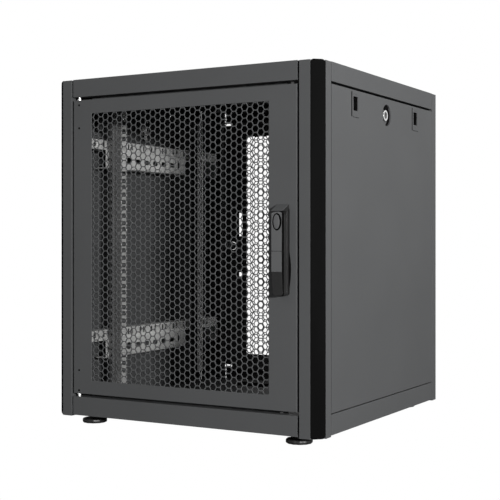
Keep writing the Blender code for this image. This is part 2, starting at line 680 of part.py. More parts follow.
def handle_lever(plastic):
    """Lever of the swing handle, hollow at its back round the spindle's arm."""
    x, z = LEFT + SPINDLE_U, SPINDLE_Z
    front, back = LEVER_V
    nose = circle((TILT_V, TILT_Z), NOSE_RADIUS, 5, start=0.0, turn=math.pi)
    outline = [(front, LEVER_Z[0] + 0.030), (-0.0150, LEVER_Z[0]), (back, LEVER_Z[0]),
               (back, 0.4110)] + nose
    side = prism(vz(outline), "X", LEFT + LEVER_U[0], LEFT + LEVER_U[1])
    reach = 0.0181
    half_left, half_right = SPINDLE_U - LEVER_U[0], LEVER_U[1] - SPINDLE_U
    start = math.acos(half_right / reach)
    turn = math.pi - math.acos(half_left / reach) - start
    crown = circle((x, z), reach, 8, start=start, turn=turn)
    bottom = [(x - half_left, LEVER_Z[0] + 0.004), (x - half_left + 0.003, LEVER_Z[0]),
              (x + half_right - 0.003, LEVER_Z[0]), (x + half_right, LEVER_Z[0] + 0.004)]
    front_view = prism(crown + bottom, "Y", FRONT - 0.035, FRONT)
    pocket = box((x - 0.0068, FRONT - 0.0250, 0.3860), (x + 0.0068, FRONT, 0.4196))
    nose_gap = box((x - 0.0068, FRONT - 0.0210, 0.4190), (x + 0.0068, FRONT, 0.4225))
    pin_bore = prism(circle((FRONT + TILT_V, TILT_Z), 0.0016, 10), "X", x - 0.0105, x - 0.0060)
    other_bore = prism(circle((FRONT + TILT_V, TILT_Z), 0.0016, 10), "X", x + 0.0060, x + 0.0100)
    core_bore = prism(circle((x, z), 0.0058, 16), "Y", FRONT - 0.0300, FRONT - 0.0240)
    origin = (x, FRONT + TILT_V, TILT_Z)
    lever = piece("front_handle_lever", side, plastic, common=front_view, cuts=[pocket],
                  origin=origin)
    bores = joined([pin_bore, other_bore, core_bore])
    boolean(lever, "front_handle_lever_bores", bores, "DIFFERENCE", (False, False), origin)
    boolean(lever, "front_handle_lever_gap", nose_gap, "DIFFERENCE", (False, False), origin)


def handle_lock(plastic, chrome):
    """Key core in the lever and the oval dust cover that turns aside from it."""
    x, z = LEFT + SPINDLE_U, SPINDLE_Z
    core = prism(circle((x, z), 0.0054, 16), "Y", FRONT - 0.0264, FRONT - 0.0185)
    key = box((x - 0.0007, FRONT - 0.0300, z - 0.0035), (x + 0.0007, FRONT - 0.0230, z + 0.0035))
    piece("front_lock_core", core, chrome, cuts=[key], origin=(x, FRONT - 0.0268, z))
    oval = [(x + COVER_HALF[0] * math.cos(a), COVER_Z + COVER_HALF[1] * math.sin(a))
            for a in (2 * math.pi * i / 24 for i in range(24))]
    cover = prism(oval, "Y", FRONT + COVER_V[0], FRONT + COVER_V[1])
    piece("front_lock_cover", cover, plastic, origin=(x, FRONT + COVER_V[1], COVER_PIVOT_Z))


def lock_rods(zinc):
    """Flat rods that the pinion drives up and down inside the door."""
    right = SPINDLE_U + PINION_RADIUS
    left = SPINDLE_U - PINION_RADIUS - ROD_WIDTH
    top = span_box((right, right + ROD_WIDTH), ROD_V, (0.3930, 0.6560))
    bottom = span_box((left, left + ROD_WIDTH), ROD_V, (0.0571, 0.4150))
    piece("front_lock_rod_top", top, zinc, origin=(LEFT + right, FRONT + ROD_V[0], 0.3930))
    piece("front_lock_rod_bottom", bottom, zinc, origin=(LEFT + left, FRONT + ROD_V[0], 0.0571))


def main():
    clear_scene()
    steel = material("powder_coat", (0.075, 0.077, 0.078), 0.55, 0.0)
    mesh_steel = material("mesh_coat", (0.085, 0.087, 0.088), 0.50, 0.0)
    trim = material("trim_plastic", (0.010, 0.010, 0.010), 0.45, 0.0)
    grip = material("handle_plastic", (0.030, 0.030, 0.031), 0.45, 0.0)
    zinc = material("zinc_plate", (0.62, 0.62, 0.60), 0.35, 1.0)
    rod = material("dark_zinc", (0.12, 0.12, 0.12), 0.45, 1.0)
    chrome = material("chrome_plate", (0.80, 0.80, 0.80), 0.12, 1.0)
    rubber = material("foot_plastic", (0.018, 0.018, 0.018), 0.60, 0.0)
    bristle = material("brush_fibre", (0.020, 0.020, 0.020), 0.80, 0.0)
    corner_posts(steel)
    corner_trims(trim)
    end_rails(steel)
    side_rails(steel)
    roof(steel)
    roof_fittings(steel, bristle)
    floor_pan(steel)
    rail_supports(zinc)
    mounting_rails(zinc)
    levelling_feet(rubber)
    side_panels(steel)
    side_latches(grip)
    side_locks(chrome)
    front_door(steel, mesh_steel, zinc)
    rear_door(steel, mesh_steel, zinc, chrome)
    handle_base(grip)
    handle_spindle(zinc)
    handle_lever(grip)
    handle_lock(grip, chrome)
    lock_rods(rod)


main()
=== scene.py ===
"""Looks of a twelve-unit network rack cabinet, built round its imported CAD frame.

Metres. A place across the cabinet is u, inwards from the left outer face, and a place in
depth is v, inwards from the front plane. Mirrored pieces are made once and flipped.
"""

import json
import math

import bmesh
import bpy
from mathutils import Matrix, Vector


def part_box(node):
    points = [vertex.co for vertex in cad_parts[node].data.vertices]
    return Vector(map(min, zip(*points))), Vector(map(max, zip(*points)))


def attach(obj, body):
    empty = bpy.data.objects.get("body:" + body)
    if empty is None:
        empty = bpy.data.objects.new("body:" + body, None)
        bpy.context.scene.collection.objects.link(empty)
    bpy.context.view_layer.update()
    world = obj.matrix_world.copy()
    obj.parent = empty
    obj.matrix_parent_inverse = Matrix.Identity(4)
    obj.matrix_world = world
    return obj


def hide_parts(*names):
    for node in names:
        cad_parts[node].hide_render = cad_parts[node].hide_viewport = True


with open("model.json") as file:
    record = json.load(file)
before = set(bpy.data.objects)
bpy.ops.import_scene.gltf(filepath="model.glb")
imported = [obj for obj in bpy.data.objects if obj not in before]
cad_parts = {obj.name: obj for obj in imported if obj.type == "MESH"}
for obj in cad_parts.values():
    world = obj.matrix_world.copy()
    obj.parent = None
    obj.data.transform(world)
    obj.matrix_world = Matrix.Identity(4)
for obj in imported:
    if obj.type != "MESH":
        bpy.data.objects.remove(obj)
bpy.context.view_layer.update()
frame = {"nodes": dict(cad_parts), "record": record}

# Measures taken from the frame
POST_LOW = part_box("post_front_left")[0]
LEFT = POST_LOW.x
FRONT = POST_LOW.y
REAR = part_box("post_rear_left")[1].y
MID_Y = (FRONT + REAR) / 2

# Degrees between faces: from here a corner is sharp, and up to here faces are one flat face
SHARP_ANGLE = 32
FLAT_ANGLE = 0.5

CORNERS = {
    "front_left": (False, False),
    "front_right": (True, False),
    "rear_left": (False, True),
    "rear_right": (True, True),
}
SIDES = {"left": (False, False), "right": (True, False)}
ENDS = {"front": (False, False), "rear": (True, True)}


# ---------------------------------------------------------------- mesh helpers

def axis_point(axis, a, b, height):
    if axis == "X":
        return (height, a, b)
    if axis == "Y":
        return (a, height, b)
    return (a, b, height)


def skinned(rings):
    """Closed solid through rings with equal numbers of points, from one end to the other."""
    bm = bmesh.new()
    rings = [[bm.verts.new(point) for point in ring] for ring in rings]
    for lower, upper in zip(rings, rings[1:]):
        for i in range(len(lower)):
            j = (i + 1) % len(lower)
            bm.faces.new((lower[i], lower[j], upper[j], upper[i]))
    bm.faces.new(rings[0])
    bm.faces.new(rings[-1])
    bmesh.ops.recalc_face_normals(bm, faces=bm.faces)
    return bm


def prism(outline, axis, low, high):
    """Closed solid between two copies of one outline along an axis."""
    return skinned([[axis_point(axis, a, b, height) for a, b in outline] for height in (low, high)])


def box(low, high):
    outline = [(low[0], low[1]), (high[0], low[1]), (high[0], high[1]), (low[0], high[1])]
    return prism(outline, "Z", low[2], high[2])


def arc(centre, radius, start, turn, steps):
    angles = [start + turn * i / steps for i in range(steps + 1)]
    return [(centre[0] + radius * math.cos(a), centre[1] + radius * math.sin(a)) for a in angles]


def circle(centre, radius, sides, start=0.0):
    return arc(centre, radius, start, 2 * math.pi, sides)[:-1]


def rounded_rectangle(low, high, radius, steps=4):
    corners = [(high[0] - radius, high[1] - radius), (low[0] + radius, high[1] - radius),
               (low[0] + radius, low[1] + radius), (high[0] - radius, low[1] + radius)]
    points = []
    for i, corner in enumerate(corners):
        points += arc(corner, radius, i * math.pi / 2, math.pi / 2, steps)
    return points


def around(centre, half, radius, steps=4):
    """Rounded rectangle given by its middle and its half sizes."""
    return rounded_rectangle((centre[0] - half[0], centre[1] - half[1]),
                             (centre[0] + half[0], centre[1] + half[1]), radius, steps)


def oval(centre, half, sides=40):
    return [(centre[0] + half[0] * math.cos(a), centre[1] + half[1] * math.sin(a))
            for a in (2 * math.pi * i / sides for i in range(sides))]


def turned(profile, axis, centre, sides):
    """Solid turned round an axis; the profile is radius and height, from one end to the other."""
    return skinned([[axis_point(axis, a, b, height) for a, b in circle(centre, radius, sides)]
                    for radius, height in profile])


def unit(a, b):
    length = math.hypot(a, b)
    return a / length, b / length


def rounded_path(points, radius, steps=3):
    """Open path with its inner corners turned into arcs of the given radius."""
    path = [points[0]]
    for before, corner, after in zip(points, points[1:], points[2:]):
        ina, inb = unit(corner[0] - before[0], corner[1] - before[1])
        outa, outb = unit(after[0] - corner[0], after[1] - corner[1])
        turn = math.atan2(ina * outb - inb * outa, ina * outa + inb * outb)
        reach = radius * math.tan(abs(turn) / 2)
        side = math.copysign(1.0, turn)
        start = (corner[0] - ina * reach, corner[1] - inb * reach)
        centre = (start[0] - inb * radius * side, start[1] + ina * radius * side)
        first = math.atan2(start[1] - centre[1], start[0] - centre[0])
        path += arc(centre, radius, first, turn, steps)
    path.append(points[-1])
    return path


def offset_path(points, distance):
    """The path moved sideways by a distance, to its left when that is positive."""
    moved = []
    last = len(points) - 1
    for i, (a, b) in enumerate(points):
        before = points[max(i - 1, 0)]
        after = points[min(i + 1, last)]
        legs = []
        if i > 0:
            legs.append(unit(a - before[0], b - before[1]))
        if i < last:
            legs.append(unit(after[0] - a, after[1] - b))
        na = -sum(leg[1] for leg in legs) / len(legs)
        nb = sum(leg[0] for leg in legs) / len(legs)
        share = na * na + nb * nb
        moved.append((a + na * distance / share, b + nb * distance / share))
    return moved


def bent_sheet(points, thickness, side, radius):
    """Outline of a folded sheet with rounded bends; the points are its outer faces' corners."""
    middle = offset_path(points, side * thickness / 2)
    rounded = rounded_path(middle, radius)
    outer = offset_path(rounded, -side * thickness / 2)
    inner = offset_path(rounded, side * thickness / 2)
    return outer + inner[::-1]


def joined(shapes):
    """One mesh that holds several separate shapes."""
    bm = bmesh.new()
    for shape in shapes:
        mesh = bpy.data.meshes.new("shape")
        shape.to_mesh(mesh)
        bm.from_mesh(mesh)
        bpy.data.meshes.remove(mesh)
        shape.free()
    return bm


def helper(bm):
    mesh = bpy.data.meshes.new("helper")
    bm.to_mesh(mesh)
    bm.free()
    obj = bpy.data.objects.new("helper", mesh)
    bpy.context.scene.collection.objects.link(obj)
    return obj


def combined(solid, other, operation):
    """Exact Boolean of two meshes, applied."""
    first, second = helper(solid), helper(other)
    modifier = first.modifiers.new("combine", "BOOLEAN")
    modifier.operation = operation
    modifier.object = second
    modifier.solver = "EXACT"
    evaluated = first.evaluated_get(bpy.context.evaluated_depsgraph_get())
    result = bmesh.new()
    result.from_mesh(evaluated.to_mesh())
    evaluated.to_mesh_clear()
    for obj in (first, second):
        mesh = obj.data
        bpy.data.objects.remove(obj)
        bpy.data.meshes.remove(mesh)
    bmesh.ops.dissolve_limit(result, angle_limit=math.radians(FLAT_ANGLE), verts=result.verts,
                             edges=result.edges)
    return result


def cut(solid, shapes):
    return combined(solid, joined(shapes), "DIFFERENCE")


def united(solid, shapes):
    for shape in shapes:
        solid = combined(solid, shape, "UNION")
    return solid


def flipped(bm, flips):
    """The mesh mirrored across the cabinet's middle planes as the flips say."""
    for vert in bm.verts:
        if flips[0]:
            vert.co.x = -vert.co.x
        if flips[1]:
            vert.co.y = 2 * MID_Y - vert.co.y
    if flips[0] != flips[1]:
        bmesh.ops.reverse_faces(bm, faces=bm.faces)
    return bm


def soften(obj, width, segments=2):
    """Small rounded edges on an object's sharp corners."""
    modifier = obj.modifiers.new("edges", "BEVEL")
    modifier.width = width
    modifier.segments = segments
    modifier.limit_method = "ANGLE"
    modifier.angle_limit = math.radians(SHARP_ANGLE)
    modifier.harden_normals = True
    return obj


def piece(name, bm, body, slot, flips=(False, False), edge=0.0, smooth=SHARP_ANGLE, replaces=()):
    """Finished piece of the object in a slot's material, riding on a body of the frame."""
    flipped(bm, flips)
    mesh = bpy.data.meshes.new(name)
    bm.to_mesh(mesh)
    bm.free()
    mesh.materials.append(FINISHES[slot])
    mesh.polygons.foreach_set("use_smooth", [True] * len(mesh.polygons))
    if not edge:
        mesh.set_sharp_from_angle(angle=math.radians(smooth))
    obj = bpy.data.objects.new(name, mesh)
    bpy.context.scene.collection.objects.link(obj)
    if edge:
        soften(obj, edge)
    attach(obj, body)
    if replaces:
        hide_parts(*replaces)
    return obj


# ---------------------------------------------------------------- materials

class Nodes:
    """Short way to lay out one material's nodes."""

    def __init__(self, name):
        self.material = bpy.data.materials.new(name)
        self.material.use_nodes = True
        self.tree = self.material.node_tree
        self.shader = self.tree.nodes["Principled BSDF"]
        self.place = self.add("ShaderNodeTexCoord").outputs["Object"]

    def add(self, kind, **settings):
        node = self.tree.nodes.new(kind)
        for key, value in settings.items():
            setattr(node, key, value)
        return node

    def link(self, output, target):
        self.tree.links.new(output, target)

    def noise(self, scale, detail=2.0, roughness=0.5, stretch=None):
        node = self.add("ShaderNodeTexNoise")
        node.inputs["Scale"].default_value = scale
        node.inputs["Detail"].default_value = detail
        node.inputs["Roughness"].default_value = roughness
        source = self.place
        if stretch:
            mapping = self.add("ShaderNodeMapping")
            mapping.inputs["Scale"].default_value = stretch
            self.link(source, mapping.inputs["Vector"])
            source = mapping.outputs["Vector"]
        self.link(source, node.inputs["Vector"])
        return node.outputs["Fac"]

    def span(self, value, low, high, start=0.3, end=0.7):
        """The value from start to end mapped to low to high."""
        node = self.add("ShaderNodeMapRange")
        node.inputs["From Min"].default_value = start
        node.inputs["From Max"].default_value = end
        node.inputs["To Min"].default_value = low
        node.inputs["To Max"].default_value = high
        self.link(value, node.inputs["Value"])
        return node.outputs["Result"]

    def blend(self, factor, first, second):
        """Colour between two colours, or between a colour and an output."""
        node = self.add("ShaderNodeMix", data_type="RGBA")
        self.link(factor, node.inputs["Factor"])
        for colour, socket in ((first, node.inputs["A"]), (second, node.inputs["B"])):
            if isinstance(colour, bpy.types.NodeSocket):
                self.link(colour, socket)
            else:
                socket.default_value = (*colour, 1.0)
        return node.outputs["Result"]

    def edges(self, radius):
        """One near a convex or concave edge, none on flat faces."""
        rounded = self.add("ShaderNodeBevel", samples=4)
        rounded.inputs["Radius"].default_value = radius
        flat = self.add("ShaderNodeNewGeometry")
        compare = self.add("ShaderNodeVectorMath", operation="DOT_PRODUCT")
        self.link(rounded.outputs["Normal"], compare.inputs[0])
        self.link(flat.outputs["Normal"], compare.inputs[1])
        return self.span(compare.outputs["Value"], 1.0, 0.0, 0.80, 0.995)

    def drive(self, value, socket):
        self.link(value, self.shader.inputs[socket])

    def bump(self, height, strength, distance):
        node = self.add("ShaderNodeBump")
        node.inputs["Strength"].default_value = strength
        node.inputs["Distance"].default_value = distance
        self.link(height, node.inputs["Height"])
        self.drive(node.outputs["Normal"], "Normal")

    def settings(self, **values):
        for key, value in values.items():
            self.shader.inputs[key.replace("_", " ")].default_value = value


def shade(colour, factor):
    return tuple(channel * factor for channel in colour)


def powder_coat(name, colour, roughness):
    """Fine orange-peel powder coat, a little lighter along its edges."""
    m = Nodes(name)
    mottle = m.span(m.noise(7.0, 4.0), 0.0, 1.0)
    base = m.blend(mottle, shade(colour, 0.94), shade(colour, 1.06))
    speck = m.span(m.noise(1600.0, 2.0), 0.0, 1.0, 0.35, 0.65)
    grained = m.blend(speck, shade(colour, 0.88), base)
    # Lighter edges: a painted highlight where light catches the rounded edges, not wear
    edge_highlighted = m.blend(m.edges(0.0009), grained, shade(colour, 1.35))
    m.drive(edge_highlighted, "Base Color")
    m.drive(m.span(m.noise(420.0, 3.0), roughness - 0.05, roughness + 0.05), "Roughness")
    m.bump(m.noise(950.0, 3.0, 0.6), 0.22, 0.00025)
    m.settings(Specular_IOR_Level=0.15)
    return m.material


def moulded_plastic(name, colour, roughness, grain, shine=0.35):
    """Moulded plastic with a fine spark-eroded grain and faint flow marks."""
    m = Nodes(name)
    flow = m.span(m.noise(5.0, 3.0, stretch=(3.0, 3.0, 0.6)), 0.0, 1.0)
    base = m.blend(flow, shade(colour, 0.88), shade(colour, 1.15))
    # Lighter edges: a painted highlight where light catches the rounded edges, not wear
    edge_highlighted = m.blend(m.edges(0.0007), base, shade(colour, 1.6))
    m.drive(edge_highlighted, "Base Color")
    m.drive(m.span(m.noise(260.0, 3.0), roughness - 0.06, roughness + 0.06), "Roughness")
    m.bump(m.noise(grain, 2.0, 0.6), 0.25, 0.00015)
    m.settings(Specular_IOR_Level=shine)
    return m.material


def plated_steel(name, colour, roughness, spangle, metallic):
    """Zinc-plated sheet: drawn lines along it, cloudy patches and a faint spangle."""
    m = Nodes(name)
    cloud = m.span(m.noise(14.0, 5.0, 0.6), 0.0, 1.0)
    base = m.blend(cloud, shade(colour, 0.86), shade(colour, 1.06))
    cells = m.add("ShaderNodeTexVoronoi")
    cells.inputs["Scale"].default_value = spangle
    m.link(m.place, cells.inputs["Vector"])
    spangled = m.blend(m.span(cells.outputs["Distance"], 0.0, 0.35, 0.1, 0.7), base,
                       shade(colour, 0.8))
    m.drive(spangled, "Base Color")
    drawn = m.noise(90.0, 4.0, 0.7, stretch=(14.0, 14.0, 1.0))
    m.drive(m.span(drawn, roughness - 0.08, roughness + 0.10), "Roughness")
    m.bump(drawn, 0.12, 0.0001)
    m.settings(Metallic=metallic)
    return m.material


def polished(name, colour, roughness):
    """Chrome plate with faint handling marks."""
    m = Nodes(name)
    marks = m.noise(600.0, 4.0, 0.7, stretch=(1.0, 1.0, 0.2))
    m.drive(m.span(marks, roughness, roughness + 0.12, 0.4, 0.7), "Roughness")
    m.drive(m.blend(m.span(m.noise(40.0), 0.0, 1.0), shade(colour, 0.92), colour), "Base Color")
    m.bump(marks, 0.05, 0.0001)
    m.settings(Metallic=1.0)
    return m.material


def bristle_fibre(name, colour):
    """Dull fibre with strands along the depth."""
    m = Nodes(name)
    strands = m.noise(900.0, 3.0, 0.7, stretch=(1.0, 0.05, 1.0))
    m.drive(m.blend(m.span(strands, 0.0, 1.0), shade(colour, 0.6), shade(colour, 1.7)),
            "Base Color")
    m.bump(strands, 0.5, 0.0003)
    m.settings(Roughness=0.7)
    return m.material


FINISHES = {
    "powder_coat": powder_coat("powder_coat", (0.048, 0.049, 0.050), 0.55),
    "mesh_coat": powder_coat("mesh_coat", (0.050, 0.051, 0.052), 0.50),
    "trim_plastic": moulded_plastic("trim_plastic", (0.0030, 0.0030, 0.0030), 0.60, 1300.0, 0.0),
    "handle_plastic": moulded_plastic("handle_plastic", (0.052, 0.053, 0.054), 0.50, 1500.0),
    "foot_plastic": moulded_plastic("foot_plastic", (0.010, 0.010, 0.010), 0.45, 900.0),
    "zinc_plate": plated_steel("zinc_plate", (0.74, 0.74, 0.73), 0.45, 260.0, 0.70),
    "dark_zinc": plated_steel("dark_zinc", (0.065, 0.065, 0.065), 0.55, 300.0, 0.50),
    "chrome_plate": polished("chrome_plate", (0.95, 0.95, 0.95), 0.14),
    "brush_fibre": bristle_fibre("brush_fibre", (0.012, 0.012, 0.012)),
}
SOFT_EDGES = {
    "powder_coat": 0.0005,
    "trim_plastic": 0.0008,
    "handle_plastic": 0.0006,
    "chrome_plate": 0.0003,
    "zinc_plate": 0.0003,
}


def dress_frame():
    """Gives every CAD node its finish, and rounds a little the sharp edges of those whose finish is
    in SOFT_EDGES.
    """
    for part in frame["record"]["subparts"]:
        node = frame["nodes"][part["node"]]
        slot = part["material_slot"]
        node.data.materials.clear()
        node.data.materials.append(FINISHES[slot])
        node.data.polygons.foreach_set("material_index", [0] * len(node.data.polygons))
        if slot in SOFT_EDGES:
            weld = node.modifiers.new("weld", "WELD")
            weld.merge_threshold = 0.00001
            soften(node, SOFT_EDGES[slot])


# ---------------------------------------------------------------- perforated doors

HEX_COLUMN = 0.01135
HEX_ROW = 0.01364
HEX_WEB = 0.0019
HEX_START = (LEFT + 0.1032, 0.00095)


def clipped(polygon, low, high):
    """Convex polygon cut down to a rectangle."""
    for axis, limit, keep in ((0, low[0], 1), (0, high[0], -1), (1, low[1], 1), (1, high[1], -1)):
        result = []
        for i, point in enumerate(polygon):
            before = polygon[i - 1]
            inside = keep * (point[axis] - limit) >= 0
            was_inside = keep * (before[axis] - limit) >= 0
            if inside != was_inside:
                share = (limit - before[axis]) / (point[axis] - before[axis])
                result.append(tuple(b + (p - b) * share for b, p in zip(before, point)))
            if inside:
                result.append(point)
        polygon = result
        if not polygon:
            break
    return polygon


def hexagon(centre, half_height):
    """Six-sided outline with level top and bottom, narrowed to the sheet's column pitch."""
    reach = half_height * HEX_COLUMN / 1.5 / (HEX_ROW / 2)
    rise = half_height / math.sin(math.pi / 3)
    return [(centre[0] + reach * math.cos(a), centre[1] + rise * math.sin(a))
            for a in (i * math.pi / 3 for i in range(6))]


def perforated_sheet(low, high, depth):
    """Flat sheet across Y with six-sided holes in rows, cut through its outermost holes."""
    bm = bmesh.new()
    known = {}

    def vert(point):
        key = (round(point[0] * 1e6), round(point[1] * 1e6))
        if key not in known:
            known[key] = bm.verts.new((point[0], depth, point[1]))
        return known[key]

    def face(points):
        ring = []
        for point in clipped(points, low, high):
            corner = vert(point)
            if corner not in ring:
                ring.append(corner)
        if len(ring) > 2:
            bm.faces.new(ring)

    first = math.floor((low[0] - HEX_START[0]) / HEX_COLUMN) - 1
    last = math.ceil((high[0] - HEX_START[0]) / HEX_COLUMN) + 1
    bottom = math.floor((low[1] - HEX_START[1]) / HEX_ROW) - 1
    top = math.ceil((high[1] - HEX_START[1]) / HEX_ROW) + 1
    for column in range(first, last + 1):
        for row in range(bottom, top + 1):
            centre = (HEX_START[0] + column * HEX_COLUMN,
                      HEX_START[1] + (row + 0.5 * (column % 2)) * HEX_ROW)
            cell = hexagon(centre, HEX_ROW / 2)
            hole = hexagon(centre, (HEX_ROW - HEX_WEB) / 2)
            for i in range(6):
                j = (i + 1) % 6
                face([cell[i], cell[j], hole[j], hole[i]])
    return bm


def door_perforation():
    """Perforated sheets that stand for the plain plates of both doors."""
    low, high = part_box("front_door_mesh")
    for end, flips in ENDS.items():
        bm = perforated_sheet((low.x, low.z), (high.x, high.z), (low.y + high.y) / 2)
        obj = piece(f"{end}_door_perforation", bm, f"{end}_door", "mesh_coat", flips,
                    replaces=(f"{end}_door_mesh",))
        thicken = obj.modifiers.new("sheet", "SOLIDIFY")
        thicken.thickness = high.y - low.y
        thicken.offset = 0.0


SCREW_PLACES = ((0.0620, 0.6402), (0.0620, 0.5943), (0.0620, 0.1097), (0.0620, 0.0692))
SCREW_PROFILE = ((0.0021, 0.0006), (0.0021, -0.0003), (0.0013, -0.0007))
SCREW_SLOT_HALF = (0.0011, 0.0003)
GUIDE_HEIGHTS = {"top": (0.470, 0.600), "bottom": (0.120, 0.300)}
GUIDE_GAP = 0.0006
GUIDE_WALL = 0.0022
GUIDE_ROOF = 0.0016
GUIDE_HALF = 0.006


def door_fittings():
    """Screws on the front door's hinge stile, and guides for the lock rods inside it."""
    heads = []
    for u, z in SCREW_PLACES:
        profile = [(radius, FRONT + rise) for radius, rise in SCREW_PROFILE]
        head = turned(profile, "Y", (LEFT + u, z), 16)
        recess = box((LEFT + u - SCREW_SLOT_HALF[0], FRONT - 0.002, z - SCREW_SLOT_HALF[1]),
                     (LEFT + u + SCREW_SLOT_HALF[0], FRONT - 0.0003, z + SCREW_SLOT_HALF[1]))
        heads.append(cut(head, [recess]))
    piece("front_door_screws", joined(heads), "front_door", "trim_plastic")
    guides = []
    for level, heights in GUIDE_HEIGHTS.items():
        low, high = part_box(f"front_lock_rod_{level}")
        guides += [guide_loop(low, high, z) for z in heights]
    piece("front_rod_guides", joined(guides), "front_door", "handle_plastic", edge=0.0003)


def guide_loop(low, high, z):
    """Bridge fixed to the door's sheet that a flat rod slides in."""
    outer = box((low.x - GUIDE_GAP - GUIDE_WALL, FRONT + 0.0034, z - GUIDE_HALF),
                (high.x + GUIDE_GAP + GUIDE_WALL, high.y + GUIDE_GAP + GUIDE_ROOF, z + GUIDE_HALF))
    return cut(outer, [box((low.x - GUIDE_GAP, low.y - GUIDE_GAP, z - 0.02),
                           (high.x + GUIDE_GAP, high.y + GUIDE_GAP, z + 0.02))])


# ---------------------------------------------------------------- inside

SUPPORT_SHEET = 0.0015
SUPPORT_BEND = 0.0012
SUPPORT_RISE = 0.0408
SUPPORT_STEP = 0.0040
SUPPORT_BACK = LEFT + 0.020
SUPPORT_NOTCHES = ((0.0448, 0.110), (0.412, 0.446), (0.490, 0.5552))
END_PLATE = 0.0012
END_INSET = 0.0008
SLOT_MIDDLE = FRONT + 0.2917
SLOT_PITCH = 0.0333
SLOT_RISE = 0.0195
SLOT_HALF = (0.0100, 0.0052)
SLOTS = (-5, -4, -2, -1, 0, 1, 2, 5)
ROUND_SLOT = -3
ROUND_HALF = (0.0100, 0.0078)
UPRIGHT_SLOT = 3
UPRIGHT_HALF = (0.0042, 0.0085)
UPRIGHT_SHIFT = -0.006
PAIR_MIDDLE = FRONT + 0.2895
PAIR_PITCH = 0.0437
PAIR_REACH = 0.0068
PAIR_HALF = 0.0032
PAIR_BELOW_TOP = (0.0155, 0.0030)


def support_slots(base, face):
    """Bolt slots of a support's lower face, with one round and one upright hole among them."""
    z = base + SLOT_RISE
    outlines = [around((SLOT_MIDDLE + step * SLOT_PITCH, z), SLOT_HALF, 0.0050) for step in SLOTS]
    outlines.append(oval((SLOT_MIDDLE + ROUND_SLOT * SLOT_PITCH, z), ROUND_HALF))
    upright = SLOT_MIDDLE + UPRIGHT_SLOT * SLOT_PITCH + UPRIGHT_SHIFT
    outlines.append(around((upright, z), UPRIGHT_HALF, 0.0040))
    return [prism(outline, "X", face - 0.004, face + 0.002) for outline in outlines]


def tie_slots(top, strip):
    """Paired cable-tie slots of a support's upper strip."""
    holes = []
    for step in range(-5, 6):
        y = PAIR_MIDDLE + step * PAIR_PITCH
        for side in (-PAIR_REACH, PAIR_REACH):
            outline = rounded_rectangle((y + side - PAIR_HALF, top - PAIR_BELOW_TOP[0]),
                                        (y + side + PAIR_HALF, top - PAIR_BELOW_TOP[1]), 0.0014)
            holes.append(prism(outline, "X", strip - 0.004, strip + 0.002))
    return holes


def rail_supports():
    """Depth members with bolt slots in the face and paired cable-tie slots above."""
    for side, flips in SIDES.items():
        for level in ("bottom", "top"):
            low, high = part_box(f"rail_support_{level}_left")
            base, top, face = low.z, high.z, high.x
            strip, ledge = face - SUPPORT_STEP, base + SUPPORT_RISE
            points = [(SUPPORT_BACK, base), (face, base), (face, ledge), (strip, ledge),
                      (strip, top), (SUPPORT_BACK, top)]
            member = prism(bent_sheet(points, SUPPORT_SHEET, 1, SUPPORT_BEND), "Y", low.y, high.y)
            notches = [box((SUPPORT_BACK - 0.005, FRONT + start, base - 0.001),
                           (face + 0.002, FRONT + end, ledge - 0.0030))
                       for start, end in SUPPORT_NOTCHES]
            bm = cut(member, notches + support_slots(base, face) + tie_slots(top, strip))
            ends = [box((low.x, start, base + END_INSET),
                        (face - END_INSET, start + END_PLATE, top - END_INSET))
                    for start in (low.y, high.y - END_PLATE)]
            piece(f"rail_support_{level}_{side}_slotted", united(bm, ends), "cabinet",
                  "zinc_plate", flips, replaces=(f"rail_support_{level}_{side}",))


RAIL_SHEET = 0.002
RAIL_BEND = 0.0010
WEB_DEPTH = 0.024
FOOT_REACH = 0.008
RAIL_FOOT = LEFT + 0.0464
RAIL_FACE_U = (0.0600, 0.0750)
FACE_INSET = 0.0006
FACE_GAP = 0.0004
HOLE_U = 0.0674
HOLE_SIDE = 0.0095
VENT_RADIUS = 0.0030
VENT_SHIFT = 0.0005
RACK_UNIT = 0.04445
UNITS = 12
HOLE_STEPS = (0.00635, 0.022225, 0.0381)


def rack_hole_heights(low, high):
    start = (low + high) / 2 - UNITS / 2 * RACK_UNIT
    return [start + unit * RACK_UNIT + step for unit in range(UNITS) for step in HOLE_STEPS]


